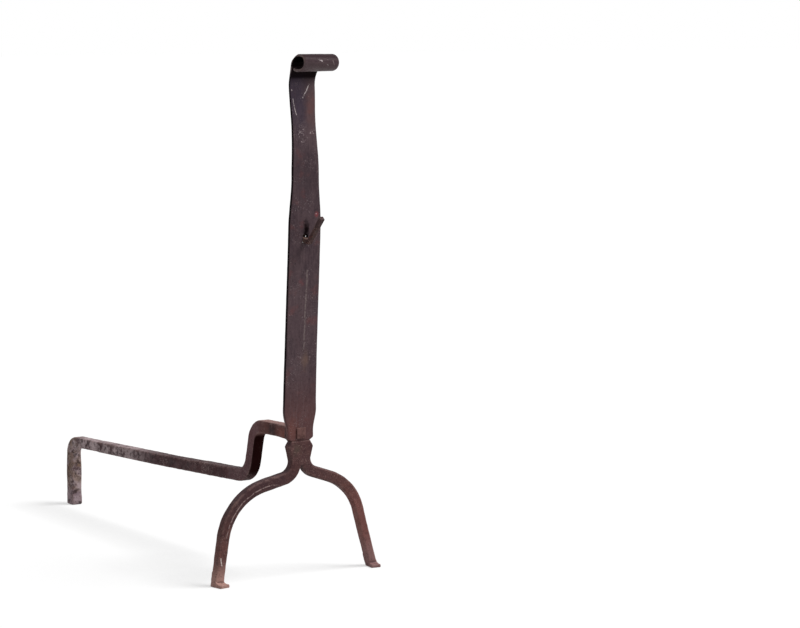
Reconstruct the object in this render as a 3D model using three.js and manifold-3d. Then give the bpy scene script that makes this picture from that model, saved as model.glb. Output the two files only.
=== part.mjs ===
// A hand-forged wrought-iron andiron, in millimetres, +Z up. The front faces -Y, the log bar runs back to +Y.
//
// Four pieces: the upright strip with its rolled top, the forked front legs, the log bar, and the spit hook.
// The strip laps over a tongue at the top of the fork. The log bar's tenon passes through both and is
// hammered over in front, which clamps the three together. The hook hangs loose in a square hole.
//
// Every piece is drawn in one frame first: x = 0 is the middle of the upright, y = 0 is near the line of the
// front feet, and z = 0 is the hearth. At the end the origin moves to the middle of the whole footprint.

import * as THREE from 'three';
import { mergeVertices } from 'three/addons/utils/BufferGeometryUtils.js';
import Module from 'manifold-3d';

const wasm = await Module();
wasm.setup();

// ---------------------------------------------------------------- driving dimensions

const fitGap = 0.3; // left between pieces that touch, and round the tenon

// Fork: a flat hub, a tongue above it, and two legs split from its foot.
const hubThick = 9.6;
const waistHalf = 10.4;
const waistZ = 117;
const hubCornerHalf = 13.9;
const hubCornerZ = 130.6;
const hubBevel = 1;
const seatZ = 135.8; // ledge that the strip's foot stands on, level with the bottom of the V nicks
const nickHalf = 10.6;
const tongueInset = 0.4; // how far the tongue's edge stays inside the strip's, at the nick
const tongueHalf = 13.6;
const tongueTopHalf = 7.5;
const tongueShoulderRise = 12.6; // above the seat
const tongueRise = 21;
const tongueThick = 4.2;
const legDepth = 9.6; // the leg bars, front to back
const legRake = 0.0627; // how far the legs step back for each millimetre they drop
const legRoot = 5; // how far the legs run up into the hub
const leftLeg = {
  side: -1,
  hubX: 5.2,
  hubWide: 11.8,
  footX: 89.3,
  footWide: 10.4,
  elbowZ: 102.4,
  kneeX: 79.4,
  kneeZ: 86.6,
};
const rightLeg = {
  side: 1,
  hubX: 5.9,
  hubWide: 11.3,
  footX: 90,
  footWide: 9.3,
  elbowZ: 107.6,
  kneeX: 62.3,
  kneeZ: 87.8,
};
const elbowRadius = 15;
const kneeRadius = 56;
const toeRise = 14; // height at which the toe leaves the leg
const toeBend = 5;
const toeReach = 7.6; // in front of the leg
const toeTipThick = 3.6;
const toeTipSpread = 1; // how much wider than the leg the hammered tip is
const toeTurn = 1.8; // how far the tip is turned in
const soleCut = 0.4; // how much of a toe is dressed off flat on the hearth line

// Upright: one strip, lapped on the tongue, bowed forward, drawn in at the neck and rolled at the top.
const lapY = -4.2; // middle of the strip where it lies on the tongue
const lapThick = 4.2;
const lapTopZ = 160.8;
const stripThick = 3.8;
const rollThick = 2.8;
const stripFootHalf = 14.6;
const footCornerRise = 3.3; // the clipped corners that make the upper half of the V nicks
const stripHalfWidths = [
  // [height, half the width]
  [146, 14.5],
  [168, 18.2],
  [228, 17.8],
  [345, 17.8],
  [396, 14.9],
  [446, 13.2],
  [481, 14.3],
];
const stripThicknesses = [
  // [height, thickness]
  [lapTopZ, lapThick],
  [182, stripThick],
  [400, stripThick],
  [490, rollThick],
];
const bowPoints = [
  // [y, z] of the middle of the strip, from the top of the lap up to the neck; below that it is straight
  [lapY, lapTopZ],
  [-4.5, 182],
  [-7.8, 240],
  [-14.2, 340],
  [-16.2, 408],
  [-12.3, 458],
  [-10.7, 481],
];
const rollLength = 38.6;
const rollY = -35.4;
const rollZ = 505.05;
const rollReach = 11; // middle of the roll to the middle of its wall, the long way of the oval
const rollRise = 6.8; // and the short way
const rollTilt = -10; // the oval's long way dips to the back, in degrees
const rollStart = 92; // where the strip comes in over the top, in degrees round the oval from the back
const rollEnd = 338; // where the lip stops
const neckPull = 16; // how far the strip runs on before it turns over
const topPull = 11; // how far it lies flat before the roll
const flareRun = 15; // the strip widens to the roll over this much of its way forward

// Log bar: a square bar, stepped down behind the upright, with its rear end bent down as a foot.
const barWide = 12.6;
const barTall = 12.8;
const barRearTall = 11.4;
const shoulderWide = 15.6; // the bar's end is upset where it bears on the tongue
const upsetRun = 30; // length over which the upset fades
const stubZ = 142.6; // middle of the bar where it meets the upright
const stubDrop = 1; // how much lower the bar is when it reaches the step
const stepTopY = 75.4;
const stepFootY = 88.4;
const stepFootZ = 87.8;
const runMiddleY = 250;
const runSag = 1; // how far the fire has let the middle of the long run down
const sagRadius = 2000;
const rearY = 478.6;
const rearTopZ = 72.2;
const rearFootThick = 13.8;
const rearTaper = 30; // height over which the rear foot thickens
const stepTopRadius = 19;
const stepFootRadius = 24;
const rearRadius = 15;
const tenonWide = 7.8;
const tenonTall = 9;
const tenonRise = 1.4; // the tenon sits this much above the middle of the bar
const tenonRoot = 4;
const tenonHeadWide = 9.8;
const tenonHeadTall = 10.9;
const tenonHeadProud = 1.5;

// Spit hook: a small square bar, turned up behind the strip, through its hole and up again in front.
const hookBar = 4.3;
const hookTipBar = 4.1;
const hookTailWide = 7.6; // the tail is hammered wide, so that it can't pull through the hole
const hookHoleWide = 5.4;
const hookHoleTall = 7.6;
const hookHoleZ = 335.3;
const hookDroop = 15; // slope of the shank, in degrees
const hookShank = 9.4; // from the middle of the hole to the crook
const hookArm = 34.3;
const hookArmAngle = 47;
const hookTail = 15;
const hookBend = 3.5;

// Softened edges
const stripEdge = 0.9;
const barEdge = 1.7;
const legEdge = 1.4;
const headEdge = 0.6;
const hookEdge = 0.7;
const curveStep = 9; // degrees of bend between two sections

// ---------------------------------------------------------------- places shared by the pieces

const stripFootZ = seatZ + fitGap;
const clipTopZ = stripFootZ + footCornerRise;
const lapFrontY = lapY - lapThick / 2;
const tongueFrontY = lapY + lapThick / 2 + fitGap;
const tongueBackY = tongueFrontY + tongueThick;
const hubMiddleY = tongueBackY - hubThick / 2;
const shoulderY = tongueBackY + fitGap;
const tenonZ = stubZ + tenonRise;
const [neckY, neckZ] = bowPoints.at(-1);
const cutReach = rearY + rearFootThick; // cuts run past everything they cut

// ---------------------------------------------------------------- shaping helpers

const { degToRad, radToDeg, clamp, lerp, smoothstep } = THREE.MathUtils;
const sideX = new THREE.Vector3(1, 0, 0);
const sideY = new THREE.Vector3(0, 1, 0);
const inSidePlane = (point) => new THREE.Vector3(0, point.x, point.y);

// The points of a bent bar: straight between its corners, with an arc at each one that has a bend radius.
function bentLine(corners) {
  const points = [new THREE.Vector2(...corners[0].at)];
  for (let i = 1; i < corners.length - 1; i++) {
    const corner = new THREE.Vector2(...corners[i].at);
    if (!corners[i].bend) {
      points.push(corner);
      continue;
    }
    const before = new THREE.Vector2(...corners[i - 1].at).sub(corner).normalize();
    const after = new THREE.Vector2(...corners[i + 1].at).sub(corner).normalize();
    const half = Math.acos(clamp(before.dot(after), -1, 1)) / 2;
    const start = corner.clone().addScaledVector(before, corners[i].bend / Math.tan(half));
    const centre = before.clone().add(after).setLength(corners[i].bend / Math.sin(half)).add(corner);
    const turn = Math.sign(after.cross(before)) * (Math.PI - 2 * half);
    const steps = Math.max(2, Math.round(radToDeg(Math.abs(turn)) / curveStep));
    for (let k = 0; k <= steps; k++) {
      points.push(start.clone().rotateAround(centre, (turn * k) / steps));
    }
  }
  points.push(new THREE.Vector2(...corners.at(-1).at));
  return points;
}

// A value read from a table of [place, value] pairs, easing smoothly from each to the next.
function eased(table, place) {
  const next = table.findIndex(([at]) => at >= place);
  if (next === 0) return table[0][1];
  if (next < 0) return table.at(-1)[1];
  const [fromAt, from] = table[next - 1];
  const [toAt, to] = table[next];
  return lerp(from, to, smoothstep(place, fromAt, toAt));
}

// The outline of a bar's section, [across, through], with rounded corners.
function sectionPoints(wide, thick, edge) {
  const radius = Math.min(edge, wide / 2.2, thick / 2.2);
  const arcSteps = 2;
  const points = [];
  [[1, 1], [-1, 1], [-1, -1], [1, -1]].forEach(([sx, sy], corner) => {
    for (let k = 0; k <= arcSteps; k++) {
      const angle = ((corner + k / arcSteps) * Math.PI) / 2;
      const across = sx * (wide / 2 - radius) + radius * Math.cos(angle);
      const through = sy * (thick / 2 - radius) + radius * Math.sin(angle);
      points.push([across, through]);
    }
  });
  return points;
}

// A forged bar: the section carried along a line of points, always square to it, with its width along `side`.
// sizeAt(point, share of the length) gives the section's width and thickness. Both ends are hammered soft.
function forgedBar(line, side, sizeAt, edge) {
  const lengths = [0];
  for (let i = 1; i < line.length; i++) lengths.push(lengths[i - 1] + line[i].distanceTo(line[i - 1]));
  const total = lengths.at(-1);
  const firstEdge = Math.min(edge, lengths[1] / 2);
  const lastEdge = Math.min(edge, (total - lengths.at(-2)) / 2);
  const stations = [
    line[0],
    line[0].clone().lerp(line[1], firstEdge / lengths[1]),
    ...line.slice(1, -1),
    line.at(-1).clone().lerp(line.at(-2), lastEdge / (total - lengths.at(-2))),
    line.at(-1),
  ];
  const places = [0, firstEdge, ...lengths.slice(1, -1), total - lastEdge, total];
  const positions = [];
  stations.forEach((point, i) => {
    const ahead = stations[Math.min(i + 1, stations.length - 1)];
    const behind = stations[Math.max(i - 1, 0)];
    const along = ahead.clone().sub(behind).normalize();
    const through = new THREE.Vector3().crossVectors(along, side).normalize();
    const across = new THREE.Vector3().crossVectors(through, along).normalize();
    const inset = i === 0 || i === stations.length - 1 ? edge : 0;
    const { wide, thick } = sizeAt(point, places[i] / total);
    for (const [a, b] of sectionPoints(wide - inset, thick - inset, edge)) {
      const corner = point.clone().addScaledVector(across, a).addScaledVector(through, b);
      positions.push(corner.x, corner.y, corner.z);
    }
  });
  const ring = positions.length / 3 / stations.length;
  const triangles = [];
  for (let i = 0; i < stations.length - 1; i++) {
    for (let k = 0; k < ring; k++) {
      const [a, b] = [i * ring + k, i * ring + ((k + 1) % ring)];
      triangles.push(a, b, b + ring, a, b + ring, a + ring);
    }
  }
  const lastRing = (stations.length - 1) * ring;
  for (let k = 1; k < ring - 1; k++) {
    triangles.push(0, k + 1, k, lastRing, lastRing + k, lastRing + k + 1);
  }
  const geometry = new THREE.BufferGeometry();
  geometry.setAttribute('position', new THREE.Float32BufferAttribute(positions, 3));
  geometry.setIndex(triangles);
  return solidFrom(geometry);
}

// A closed three.js geometry as a solid that can be joined and cut, its faces turned outward.
function solidFrom(geometry) {
  geometry.deleteAttribute('normal');
  geometry.deleteAttribute('uv');
  const merged = mergeVertices(geometry, 1e-4);
  const vertProperties = new Float32Array(merged.getAttribute('position').array);
  const triVerts = new Uint32Array(merged.getIndex().array);
  const solid = new wasm.Manifold(new wasm.Mesh({ numProp: 3, vertProperties, triVerts }));
  if (solid.volume() > 0) return solid;
  for (let i = 0; i < triVerts.length; i += 3) triVerts.subarray(i, i + 3).reverse();
  return new wasm.Manifold(new wasm.Mesh({ numProp: 3, vertProperties, triVerts }));
}

function block(low, high) {
  const size = high.map((value, i) => value - low[i]);
  const geometry = new THREE.BoxGeometry(...size);
  geometry.translate(...low.map((value, i) => value + size[i] / 2));
  return solidFrom(geometry);
}

// A rectangular hole punched front to back, with its middle at x = 0 and height z.
function punch(wide, tall, z) {
  return block([-wide / 2, -cutReach, z - tall / 2], [wide / 2, cutReach, z + tall / 2]);
}

function meshFrom(name, solid, material) {
  const { vertProperties, triVerts } = solid.getMesh();
  const geometry = new THREE.BufferGeometry();
  geometry.setAttribute('position', new THREE.BufferAttribute(new Float32Array(vertProperties), 3));
  geometry.setIndex(new THREE.BufferAttribute(new Uint32Array(triVerts), 1));
  geometry.computeVertexNormals();
  const mesh = new THREE.Mesh(geometry, material);
  mesh.name = name;
  return mesh;
}

// ---------------------------------------------------------------- the upright

// The middle of the strip: the lap, the bow, an easy curve over into the oval roll, and round it to the lip.
function stripLine() {
  const bow = new THREE.SplineCurve(bowPoints.map(([y, z]) => new THREE.Vector2(y, z)));
  const foot = new THREE.Vector2(lapY, stripFootZ);
  const clipTop = new THREE.Vector2(lapY, clipTopZ);
  const lap = new THREE.LineCurve(clipTop, bow.getPoint(0));
  const neck = bow.getPoint(1);
  const roll = new THREE.EllipseCurve(
    rollY, rollZ, rollReach, rollRise, degToRad(rollStart), degToRad(rollEnd), false, degToRad(rollTilt),
  );
  const rollTop = roll.getPoint(0);
  const overTop = new THREE.CubicBezierCurve(
    neck,
    neck.clone().addScaledVector(bow.getTangent(1), neckPull),
    rollTop.clone().addScaledVector(roll.getTangent(0), -topPull),
    rollTop,
  );
  return [
    foot,
    ...lap.getPoints(6),
    ...bow.getPoints(32).slice(1),
    ...overTop.getPoints(14).slice(1),
    ...roll.getPoints(26).slice(1),
  ].map(inSidePlane);
}

// The strip's half width at a point of its middle line.
function stripHalf(point) {
  const clipShare = (point.z - stripFootZ) / footCornerRise;
  if (clipShare < 1) return lerp(nickHalf, stripFootHalf, clipShare);
  if (point.z <= neckZ) return eased([[clipTopZ, stripFootHalf], ...stripHalfWidths], point.z);
  const flare = smoothstep(neckY - point.y, 0, flareRun);
  return lerp(stripHalfWidths.at(-1)[1], rollLength / 2, flare);
}

// Where the middle of the strip lies, front to back, at a height below the roll.
function stripYAt(height) {
  const line = stripLine();
  const next = line.findIndex((point) => point.z >= height);
  const share = (height - line[next - 1].z) / (line[next].z - line[next - 1].z);
  return lerp(line[next - 1].y, line[next].y, share);
}

function upright() {
  const sizeAt = (point) => ({ wide: 2 * stripHalf(point), thick: eased(stripThicknesses, point.z) });
  const strip = forgedBar(stripLine(), sideX, sizeAt, stripEdge);
  const tenonHole = punch(tenonWide + 2 * fitGap, tenonTall + 2 * fitGap, tenonZ);
  const hookHole = punch(hookHoleWide, hookHoleTall, hookHoleZ);
  return strip.subtract(tenonHole).subtract(hookHole);
}

// ---------------------------------------------------------------- the fork

// The flat of the fork, seen from the front: hub, V nicks and tongue.
function hubPlate() {
  const right = [
    [waistHalf, waistZ - legRoot],
    [waistHalf, waistZ],
    [hubCornerHalf, hubCornerZ],
    [nickHalf, seatZ],
    [stripFootHalf - tongueInset, clipTopZ],
    [tongueHalf, seatZ + tongueShoulderRise],
    [tongueTopHalf, seatZ + tongueRise],
  ];
  const outline = new THREE.Shape();
  outline.moveTo(...right[0]);
  right.slice(1).forEach(([x, z]) => outline.lineTo(x, z));
  [...right].reverse().forEach(([x, z]) => outline.lineTo(-x, z));
  const geometry = new THREE.ExtrudeGeometry(outline, {
    depth: hubThick - 2 * hubBevel,
    bevelThickness: hubBevel,
    bevelSize: hubBevel,
    bevelOffset: -hubBevel,
    bevelSegments: 1,
  });
  geometry.rotateX(Math.PI / 2);
  geometry.translate(0, tongueBackY - hubBevel, 0);
  return solidFrom(geometry);
}

// One leg: straight down out of the hub, out along a shallow slope, round the knee and down past the hearth.
function leg({ side, hubX, hubWide, footX, footWide, elbowZ, kneeX, kneeZ }) {
  const belowX = footX + (legRoot * (footX - kneeX)) / kneeZ;
  const line = bentLine([
    { at: [side * hubX, waistZ + legRoot] },
    { at: [side * hubX, elbowZ], bend: elbowRadius },
    { at: [side * kneeX, kneeZ], bend: kneeRadius },
    { at: [side * belowX, -legRoot] },
  ]);
  const rake = (z) => hubMiddleY + legRake * Math.max(0, waistZ - z);
  const points = line.map(({ x, y: z }) => new THREE.Vector3(x, rake(z), z));
  const widths = [[0, waistHalf], [0.12, hubWide], [0.25, hubWide], [0.75, footWide]];
  const sizeAt = (point, share) => ({ wide: legDepth, thick: eased(widths, share) });
  return forgedBar(points, sideY, sizeAt, legEdge);
}

// The foot of a leg, hammered thin and turned forward.
function toe({ side, footX, footWide, kneeX, kneeZ }) {
  const splay = (footX - kneeX) / kneeZ;
  const legY = hubMiddleY + legRake * waistZ;
  const tipY = legY - legDepth / 2 - toeReach;
  const soleZ = toeTipThick / 2 - soleCut;
  const line = bentLine([
    { at: [legY, toeRise] },
    { at: [legY, soleZ], bend: toeBend },
    { at: [tipY, soleZ] },
  ]);
  const out = (y) => clamp((legY - y) / (legY - tipY), 0, 1);
  const points = line.map(({ x: y, y: z }) => {
    const x = footX - splay * z - toeTurn * out(y);
    return new THREE.Vector3(side * x, y, z);
  });
  const sizeAt = (point) => ({
    wide: lerp(footWide - soleCut, footWide + toeTipSpread, out(point.y)),
    thick: lerp(legDepth - soleCut, toeTipThick, smoothstep(out(point.y), 0, 0.75)),
  });
  return forgedBar(points, sideX, sizeAt, stripEdge);
}

function legFork() {
  let fork = hubPlate();
  for (const shape of [leftLeg, rightLeg]) fork = fork.add(leg(shape)).add(toe(shape));
  const hearth = block([-cutReach, -cutReach, -cutReach], [cutReach, cutReach, 0]);
  const rebate = block([-cutReach, -cutReach, seatZ], [cutReach, tongueFrontY, cutReach]);
  const tenonHole = punch(tenonWide + 2 * fitGap, tenonTall + 2 * fitGap, tenonZ);
  return fork.subtract(hearth).subtract(rebate).subtract(tenonHole);
}

// ---------------------------------------------------------------- the log bar

function logBar() {
  const runShare = (runMiddleY - stepFootY) / (rearY - stepFootY);
  const runMiddleZ = lerp(stepFootZ, rearTopZ, runShare) - runSag;
  const line = bentLine([
    { at: [shoulderY, stubZ] },
    { at: [shoulderY + upsetRun / 2, stubZ] },
    { at: [shoulderY + upsetRun, stubZ] },
    { at: [stepTopY, stubZ - stubDrop], bend: stepTopRadius },
    { at: [stepFootY, stepFootZ], bend: stepFootRadius },
    { at: [runMiddleY, runMiddleZ], bend: sagRadius },
    { at: [rearY, rearTopZ], bend: rearRadius },
    { at: [rearY, rearTopZ - rearTaper] },
    { at: [rearY, 0] },
  ]);
  const sizeAt = (point) => {
    const run = lerp(barTall, barRearTall, smoothstep(point.y, stepFootY, rearY));
    const foot = 1 - smoothstep(point.z, rearTopZ - rearTaper, rearTopZ - rearRadius);
    return {
      wide: lerp(shoulderWide, barWide, smoothstep(point.y, shoulderY, shoulderY + upsetRun)),
      thick: lerp(run, rearFootThick, foot),
    };
  };
  const bar = forgedBar(line.map(inSidePlane), sideX, sizeAt, barEdge);
  const headBackY = lapFrontY - fitGap;
  const headFrontY = headBackY - tenonHeadProud;
  const tenon = block(
    [-tenonWide / 2, headBackY - tenonHeadProud / 2, tenonZ - tenonTall / 2],
    [tenonWide / 2, shoulderY + tenonRoot, tenonZ + tenonTall / 2],
  );
  const head = forgedBar(
    [new THREE.Vector3(0, headBackY, tenonZ), new THREE.Vector3(0, headFrontY, tenonZ)],
    sideX,
    () => ({ wide: tenonHeadWide, thick: tenonHeadTall }),
    headEdge,
  );
  return bar.add(tenon).add(head);
}

// ---------------------------------------------------------------- the spit hook

// Its middle line: tail up against the back of the strip, shank down through the hole, arm up in front.
// The shank rests on the lower front edge of the hole.
function spitHook() {
  const holeY = stripYAt(hookHoleZ);
  const lean = stripYAt(hookHoleZ + hookTail) - holeY;
  const droop = degToRad(hookDroop);
  const rise = degToRad(hookArmAngle);
  const restZ = hookHoleZ - hookHoleTall / 2 + fitGap;
  const shankZ = restZ + (stripThick / 2) * Math.tan(droop) + hookBar / 2 / Math.cos(droop);
  const tailY = holeY + stripThick / 2 + fitGap + hookBar / 2;
  const tailZ = shankZ + (tailY - holeY) * Math.tan(droop);
  const crookY = holeY - hookShank * Math.cos(droop);
  const crookZ = shankZ - hookShank * Math.sin(droop);
  const line = bentLine([
    { at: [tailY + lean, tailZ + hookTail] },
    { at: [tailY + lean / 2, tailZ + hookTail / 2] },
    { at: [tailY, tailZ], bend: hookBend },
    { at: [crookY, crookZ], bend: hookBend },
    { at: [crookY - hookArm * Math.cos(rise), crookZ + hookArm * Math.sin(rise)] },
  ]);
  const sizeAt = (point, share) => {
    const bar = lerp(hookBar, hookTipBar, smoothstep(share, 0.6, 1));
    const tail = 1 - smoothstep(share, 0.1, 0.25);
    return { wide: lerp(bar, hookTailWide, tail), thick: bar };
  };
  return forgedBar(line.map(inSidePlane), sideX, sizeAt, hookEdge);
}

// ---------------------------------------------------------------- the assembly

const iron = (color, roughness) => new THREE.MeshStandardMaterial({ color, roughness, metalness: 0.6 });

const andiron = new THREE.Group();
andiron.add(
  meshFrom('upright', upright(), iron(0x3b3236, 0.6)),
  meshFrom('leg_fork', legFork(), iron(0x46302b, 0.75)),
  meshFrom('log_bar', logBar(), iron(0x5a4a48, 0.85)),
  meshFrom('spit_hook', spitHook(), iron(0x3a2f31, 0.6)),
);

// The origin goes to the middle of the footprint, on the hearth.
const bounds = new THREE.Box3().setFromObject(andiron);
const middle = bounds.getCenter(new THREE.Vector3());
andiron.position.set(-middle.x, -middle.y, -bounds.min.z);
andiron.updateMatrixWorld(true);

export default andiron;
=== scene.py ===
# %% [markdown]
# # A hand-forged andiron
#
# An andiron holds burning logs off the hearth. This one is wrought iron, forged by hand: a strip rolled over at
# the top, a fork of two legs, a square log bar and a small hook for a spit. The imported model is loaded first,
# as a frame that is never moved, and gives every size and place. Each piece is then worked out again as a finer
# surface that shows the hammer and the wear.

# %% Load the frame
import math

import bpy
import numpy as np
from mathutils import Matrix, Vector


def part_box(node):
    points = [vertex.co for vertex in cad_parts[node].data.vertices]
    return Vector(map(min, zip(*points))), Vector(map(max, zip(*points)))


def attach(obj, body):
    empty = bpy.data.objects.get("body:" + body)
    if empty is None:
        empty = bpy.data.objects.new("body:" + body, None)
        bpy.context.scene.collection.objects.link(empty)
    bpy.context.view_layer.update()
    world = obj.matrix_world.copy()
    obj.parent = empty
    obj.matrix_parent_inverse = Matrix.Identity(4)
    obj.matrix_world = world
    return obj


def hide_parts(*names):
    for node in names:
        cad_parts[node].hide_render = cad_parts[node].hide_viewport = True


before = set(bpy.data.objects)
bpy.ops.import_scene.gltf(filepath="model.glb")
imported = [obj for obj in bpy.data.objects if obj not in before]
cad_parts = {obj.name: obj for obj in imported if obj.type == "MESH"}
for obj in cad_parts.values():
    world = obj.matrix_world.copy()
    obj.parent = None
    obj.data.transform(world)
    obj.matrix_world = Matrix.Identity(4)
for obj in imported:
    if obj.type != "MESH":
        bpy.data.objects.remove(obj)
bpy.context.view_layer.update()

# %% [markdown]
# ## The smith's ruler
#
# The iron is drawn in millimetres, as a smith would measure it: x is 0 in the middle of the upright, y is 0
# near the front feet, z is 0 on the hearth. Blender works in metres from the middle of the footprint. The
# upright's middle and the log bar's rear end tell how far apart the two origins are.

# %% From the smith's millimetres to Blender's metres
MM = 0.001
LOG_BAR_REACH = 485.5  # the log bar's rear end

upright_low, upright_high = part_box("upright")
_, log_bar_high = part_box("log_bar")
origin_shift = np.array([
    (upright_low.x + upright_high.x) / 2 / MM,
    log_bar_high.y / MM - LOG_BAR_REACH,
    0.0,
])


def placed(points):
    """The same points in Blender's metres: moved by the shift between the two origins, then scaled."""
    return (np.asarray(points, float) + origin_shift) * MM


print("the smith's origin is at", placed([0, 0, 0]).round(4), "m")

# %% [markdown]
# ## Bending a bar
#
# A smith bends a bar over the anvil's edge: it stays straight between its bends, and each bend is an arc. A
# curve object with a bevel could do this, but its points can't be shaped one by one afterwards. So the middle
# line is a plain list of evenly spaced points.

# %% The middle line of a bent bar
ARC_POINTS = 24


def unit(vector):
    return vector / np.linalg.norm(vector, axis=-1, keepdims=True)


def length_walked(points):
    return np.concatenate([[0], np.cumsum(np.linalg.norm(np.diff(points, axis=0), axis=1))])


def evenly(points, step):
    """The same line with its points one step apart: each coordinate is read off against the length walked."""
    walked = length_walked(points)
    at = np.linspace(0, walked[-1], max(2, round(walked[-1] / step)) + 1)
    return np.stack([np.interp(at, walked, column) for column in points.T], axis=1)


def arc_centre(before, corner, after, radius):
    """The centre of the arc that rounds a corner, the headings back and ahead, and half the corner's angle.

    The arc touches both runs: its centre is radius / sin(half angle) away, on the line that halves the corner.
    """
    back, ahead = unit(before - corner), unit(after - corner)
    half = math.acos(np.clip(back @ ahead, -1, 1)) / 2
    return corner + unit(back + ahead) * radius / math.sin(half), back, ahead, half


def bend(corners, step=1.0):
    """Straight runs between corners (u, v, radius), with an arc at each radius."""
    runs = [np.array([corners[0][:2]], float)]
    for before, (u, v, radius), after in zip(corners, corners[1:], corners[2:]):
        corner = np.array([u, v], float)
        centre, back, ahead, half = arc_centre(np.array(before[:2]), corner, np.array(after[:2]), radius)
        start = corner + back * radius / math.tan(half) - centre
        turn = np.sign(ahead[0] * back[1] - ahead[1] * back[0]) * np.linspace(0, math.pi - 2 * half, ARC_POINTS)
        x = start[0] * np.cos(turn) - start[1] * np.sin(turn)
        y = start[0] * np.sin(turn) + start[1] * np.cos(turn)
        runs.append(centre + np.stack([x, y], axis=1))
    runs.append(np.array([corners[-1][:2]], float))
    return evenly(np.concatenate(runs), step)


sample = bend([(0, 0, 0), (30, 0, 5), (30, 30, 0)])
print("a 60 mm bar with one 5 mm bend has", len(sample), "points")

# %% [markdown]
# ## The section of a forged bar
#
# Hammered iron has no sharp corner. The section is a rounded rectangle, carried along the middle line and
# always square to it. A Bevel modifier on a plain box would round the edges too, but here width, thickness and
# rounding may change all along the bar, as they do under the hammer.

# %% A rounded section carried along a line
SIDEWAYS = (1, 0, 0)


def section_ring(columns, rows, arc_steps=3):
    """Where each point of a rounded rectangle belongs: which side of the core (sx, sy), and its corner offset.

    The ring runs along the front from left to right, then on round the other three sides by quarter turns.
    A point of the finished section is core side x (half size - radius) + corner offset x radius.
    """
    turn = np.linspace(0, math.pi / 2, arc_steps + 1)[1:-1]
    sides = []
    for quarter, run in enumerate((columns, rows, -columns[::-1], -rows[::-1])):
        flat, arc = np.ones(len(run)), np.ones(len(turn))
        side = np.hstack([[run, -flat, 0 * flat, -flat], [arc, -arc, np.sin(turn), -np.cos(turn)]])
        for _ in range(quarter):
            side = side[[1, 0, 3, 2]] * [[-1], [1], [-1], [1]]
        sides.append(side)
    return np.hstack(sides)


def end_stations(edge, crown):
    """Rings that close an end: from near the pole out to the rim, then round the rim's quarter circle.

    Gives, for each ring, its distance from the end, how much the section is drawn in, and its scale.
    """
    scale = np.array([0.3, 0.6, 0.85, 1.0])
    turn = np.linspace(math.pi / 2, 0, 5)[1:-1]
    place = np.concatenate([crown * scale**2, crown + (edge - crown) * (1 - np.sin(turn))])
    inset = np.concatenate([np.full_like(scale, edge), edge * (1 - np.cos(turn))])
    return place, inset, np.concatenate([scale, np.ones_like(turn)])


def carried(line, side, left, right, thick, edge, ring, crown=0.0):
    """Rings of points round a bar: the section set square to the line at every station, its width along `side`.

    `left`, `right` and `thick` give half sizes at each point of the line. Returns the rings and the two poles.
    """
    walked = length_walked(line)
    length = walked[-1]
    place, inset, scale = end_stations(edge, crown)
    body = np.linspace(edge, length - edge, len(line))
    at = np.concatenate([place, body, length - place[::-1]])
    inset = np.concatenate([inset, 0 * body, inset[::-1]])[:, None]
    scale = np.concatenate([scale, 1 + 0 * body, scale[::-1]])[:, None]

    def along(values):
        return np.interp(at, walked, np.broadcast_to(values, len(line)))[:, None]

    centre = np.hstack([along(column) for column in line.T])
    slope = np.gradient(line, walked, axis=0)
    forward = unit(np.hstack([along(column) for column in slope.T]))
    through = unit(np.cross(forward, side))
    across = np.cross(through, forward)
    sx, sy, cx, cy = ring
    half_left, half_right, half_thick = along(left) - inset, along(right) - inset, along(thick) - inset
    radius = np.minimum(edge, np.minimum(half_left + half_right, 2 * half_thick) / 2.2)
    reach = np.where(sx < 0, half_left, half_right)
    u = (sx * (reach - radius) + cx * radius) * scale
    v = (sy * (half_thick - radius) + cy * radius) * scale
    rings = centre[:, None] + u[..., None] * across[:, None] + v[..., None] * through[:, None]
    return rings, line[0], line[-1]


square_ring = section_ring(np.linspace(-1, 1, 11), np.linspace(-1, 1, 11))
print("a square bar's ring has", len(square_ring[0]), "points")

# %% [markdown]
# ## From rings to a mesh
#
# Neighbouring rings are joined by four-sided faces, and each end closes on one point, the pole. All faces turn
# the same way, so every one looks outward and no seam is left open.

# %% Skin the rings


def skin(rings, poles):
    """Vertices and faces of a closed tube: ring i joins ring i + 1, and both end rings fan out to their poles."""
    stations, around, _ = rings.shape
    index = np.arange(stations * around).reshape(stations, around)
    beside = np.roll(index, -1, axis=1)
    quads = np.stack([index[:-1], beside[:-1], beside[1:], index[1:]], axis=-1)
    first, last = stations * around, stations * around + 1
    fans = np.concatenate([
        np.stack([np.full(around, first), beside[0], index[0]], axis=-1),
        np.stack([np.full(around, last), index[-1], beside[-1]], axis=-1),
    ])
    points = np.concatenate([rings.reshape(-1, 3), poles])
    return points, quads, fans


def joined(*parts):
    """All carried bars in one list of points and faces, each bar's indices moved past those before it."""
    points, faces, count = [], [], 0
    for rings, *poles in parts:
        part_points, quads, fans = skin(rings, poles)
        points.append(part_points)
        faces += (quads.reshape(-1, 4) + count).tolist() + (fans + count).tolist()
        count += len(part_points)
    return np.concatenate(points), faces


def make_piece(name, points, faces):
    """A mesh object at the origin, smooth shaded, its place written into its points in metres."""
    mesh = bpy.data.meshes.new(name)
    mesh.from_pydata(placed(points).tolist(), [], faces)
    mesh.polygons.foreach_set("use_smooth", np.ones(len(mesh.polygons), bool))
    mesh.update()
    made = bpy.data.objects.new(name, mesh)
    bpy.context.scene.collection.objects.link(made)
    return made


# %% [markdown]
# ## The upright
#
# The strip is one piece of flat bar. It lies flat on the fork's tongue, bows forward, is drawn in at the neck
# and is rolled over into an oval eye. So its middle line is a straight lap, a smooth curve through measured
# points, an easy turn over the top, and most of an ellipse.

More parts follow.
